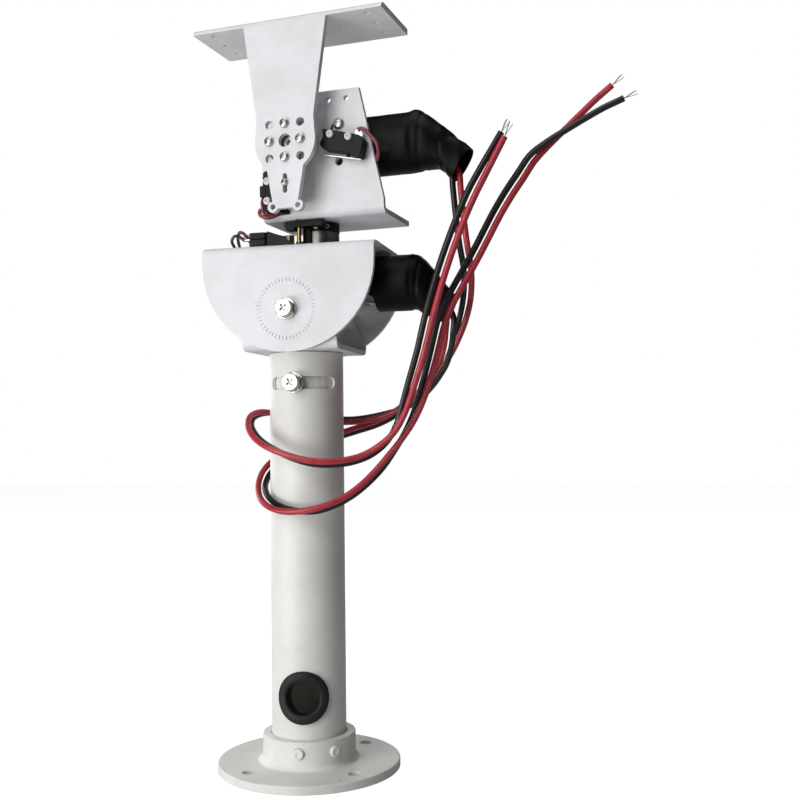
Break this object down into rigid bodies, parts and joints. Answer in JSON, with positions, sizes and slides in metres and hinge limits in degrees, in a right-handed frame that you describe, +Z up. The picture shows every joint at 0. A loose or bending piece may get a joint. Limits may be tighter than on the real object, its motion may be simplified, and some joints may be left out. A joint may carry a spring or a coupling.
{
  "type": "motorized pan-tilt mount",
  "caption": "Tube column on a round flange with a swivelling yoke, a half-disc cradle, a geared pan head and a geared tilt arm that carries a drilled top plate.",
  "frame": {"origin": "centre of the base flange's underside, on the column axis", "axes": "+Z up the column, -Y towards the front where the tilt arm and the pivot bolt's head are, +X towards the motor sleeves"},
  "size_m": [0.2051, 0.088, 0.3579],
  "materials": {
    "powder_coat": "satin white powder coat",
    "zinc_plate": "zinc-plated",
    "plain_steel": "turned or pressed steel",
    "brass": "turned",
    "rubber": "matte",
    "shrink_sleeve": "shrunk tube, satin",
    "switch_case": "moulded",
    "red_insulation": "smooth insulation",
    "black_insulation": "smooth insulation"
  },
  "bodies": {
    "column": {"base_flange": "powder_coat", "collar_screw_front": "powder_coat", "collar_screw_side": "powder_coat", "column_tube": "powder_coat", "cable_grommet": "rubber"},
    "swivel": {"swivel_spigot": "powder_coat", "yoke": "powder_coat", "lock_washer": "zinc_plate", "lock_spring_washer": "zinc_plate", "lock_bolt": "zinc_plate", "tilt_lead_red": "red_insulation", "tilt_lead_black": "black_insulation", "pan_lead_red": "red_insulation", "pan_lead_black": "black_insulation"},
    "cradle": {"cradle": "powder_coat", "pivot_washer_front": "zinc_plate", "pivot_washer_rear": "zinc_plate", "pivot_bolt": "zinc_plate", "pivot_nut": "zinc_plate", "pan_gearbox": "plain_steel", "pan_motor": "plain_steel", "pan_sleeve": "shrink_sleeve", "pan_gearbox_screw_1": "zinc_plate", "pan_gearbox_screw_2": "zinc_plate", "pan_gearbox_screw_3": "zinc_plate", "pan_gearbox_screw_4": "zinc_plate", "pan_switch_front": "switch_case", "pan_switch_rear": "switch_case"},
    "pan_lever_front": {"pan_switch_front_lever": "plain_steel"},
    "pan_lever_rear": {"pan_switch_rear_lever": "plain_steel"},
    "pan_head": {"pan_shaft": "zinc_plate", "pan_coupling": "plain_steel", "l_bracket": "powder_coat", "pan_trigger_block": "switch_case", "pan_trigger_pin": "brass", "tilt_gearbox": "plain_steel", "tilt_motor": "plain_steel", "tilt_sleeve": "shrink_sleeve", "tilt_gearbox_screw_1": "zinc_plate", "tilt_gearbox_screw_2": "zinc_plate", "tilt_gearbox_screw_3": "zinc_plate", "tilt_switch_right": "switch_case", "tilt_switch_right_screw_a": "powder_coat", "tilt_switch_right_screw_b": "powder_coat", "tilt_switch_left": "switch_case", "tilt_switch_left_screw_a": "powder_coat", "tilt_switch_left_screw_b": "powder_coat"},
    "tilt_lever_right": {"tilt_switch_right_lever": "zinc_plate"},
    "tilt_lever_left": {"tilt_switch_left_lever": "zinc_plate"},
    "tilt_arm": {"tilt_shaft": "zinc_plate", "tilt_coupling": "plain_steel", "tilt_arm_plate": "powder_coat", "hub_screw_1": "zinc_plate", "hub_screw_2": "zinc_plate", "hub_screw_3": "zinc_plate", "hub_screw_4": "zinc_plate", "trigger_screw": "zinc_plate", "trigger_nut": "zinc_plate"}
  },
  "joints": [
    {"name": "column_swivel", "type": "hinge", "parent": "column", "child": "swivel", "pos_m": [0, 0, 0.19], "axis": [0, 0, 1], "range_deg": [-38, 58]},
    {"name": "cradle_tilt", "type": "hinge", "parent": "swivel", "child": "cradle", "pos_m": [0, 0, 0.2188], "axis": [0, 1, 0], "range_deg": [-30, 30], "deforming": ["tilt_lead_red", "tilt_lead_black", "pan_lead_red", "pan_lead_black"]},
    {"name": "pan", "type": "hinge", "parent": "cradle", "child": "pan_head", "pos_m": [0.0085, 0, 0.25], "axis": [0, 0, 1], "range_deg": [-17, 266], "deforming": ["tilt_lead_red", "tilt_lead_black"]},
    {"name": "tilt", "type": "hinge", "parent": "pan_head", "child": "tilt_arm", "pos_m": [0.00233, 0.00058, 0.2983], "axis": [0.0941, 0.9956, 0], "range_deg": [-62, 7]},
    {"name": "pan_lever_front_press", "type": "hinge", "parent": "cradle", "child": "pan_lever_front", "pos_m": [-0.0103, -0.0213, 0.2531], "axis": [0, 0, 1], "range_deg": [0, 16], "stiffness_Nm_per_rad": 0.02, "springref_deg": -2.86},
    {"name": "pan_lever_rear_press", "type": "hinge", "parent": "cradle", "child": "pan_lever_rear", "pos_m": [-0.0103, 0.0142, 0.2531], "axis": [0, 0, 1], "range_deg": [-16, 0], "stiffness_Nm_per_rad": 0.02, "springref_deg": 2.86},
    {"name": "tilt_lever_right_press", "type": "hinge", "parent": "pan_head", "child": "tilt_lever_right", "pos_m": [0.03124, -0.02093, 0.29051], "axis": [-0.0941, -0.9956, 0], "range_deg": [-8, 0], "stiffness_Nm_per_rad": 0.02, "springref_deg": 2.86},
    {"name": "tilt_lever_left_press", "type": "hinge", "parent": "pan_head", "child": "tilt_lever_left", "pos_m": [-0.00406, -0.0176, 0.2842], "axis": [-0.0941, -0.9956, 0], "range_deg": [-8, 0], "stiffness_Nm_per_rad": 0.02, "springref_deg": 2.86}
  ]
}
